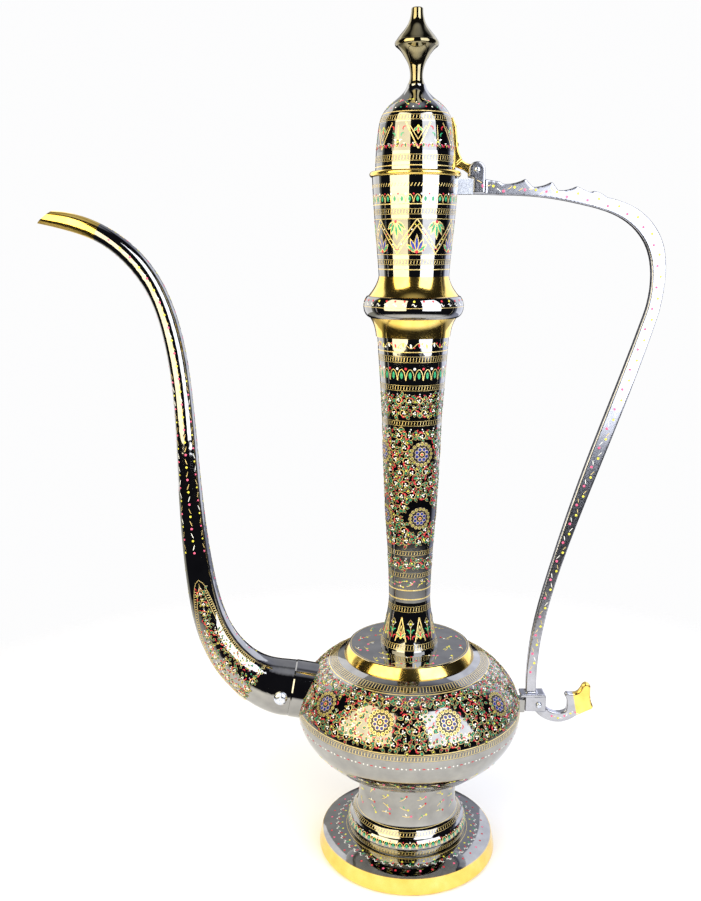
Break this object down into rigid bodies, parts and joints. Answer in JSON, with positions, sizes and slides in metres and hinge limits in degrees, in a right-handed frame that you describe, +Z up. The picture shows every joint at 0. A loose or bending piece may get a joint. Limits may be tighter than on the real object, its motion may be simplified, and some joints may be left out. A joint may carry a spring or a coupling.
{
  "type": "coffee ewer",
  "caption": "Tall long-necked brass ewer with an S-curved spout, a thin scalloped cast handle, a round foot and a hinged domed lid with a finial.",
  "frame": {"origin": "centre of the foot, on the surface the ewer stands on", "axes": "+Z up, spout towards -X, handle towards +X"},
  "size_m": [0.4313, 0.1676, 0.61],
  "materials": {
    "lacquered_brass": "engraved brass filled and coated with gloss black lacquer",
    "polished_brass": "polished bare brass",
    "plain_brass": "turned brass, left dull inside",
    "zinc_steel": "bright zinc plating"
  },
  "bodies": {
    "root": {"foot_base": "lacquered_brass", "pedestal": "lacquered_brass", "foot_boss": "plain_brass", "foot_nut": "plain_brass", "body_boss": "plain_brass", "body_lower": "lacquered_brass", "body_upper": "lacquered_brass", "shoulder_disc": "lacquered_brass", "neck_sleeve": "plain_brass", "neck_bell": "lacquered_brass", "neck_tube": "lacquered_brass", "neck_collar": "polished_brass", "collar_sleeve": "plain_brass", "mouth_cup": "lacquered_brass", "spout_socket": "lacquered_brass", "spout": "lacquered_brass", "spout_screw": "zinc_steel", "cup_lug": "lacquered_brass", "handle": "lacquered_brass", "handle_top_screw": "zinc_steel", "hinge_screw": "zinc_steel", "hinge_nut": "zinc_steel", "body_lug": "lacquered_brass", "handle_low_screw": "zinc_steel", "handle_low_nut": "zinc_steel"},
    "lid": {"lid_dome": "lacquered_brass", "lid_rim": "polished_brass", "finial": "lacquered_brass", "finial_nut": "plain_brass", "lid_strap": "polished_brass", "strap_rivets": "polished_brass"}
  },
  "joints": [
    {"name": "lid_hinge", "type": "hinge", "parent": "root", "child": "lid", "pos_m": [0.0415, 0, 0.5075], "axis": [0, 1, 0], "range_deg": [0, 110]}
  ]
}
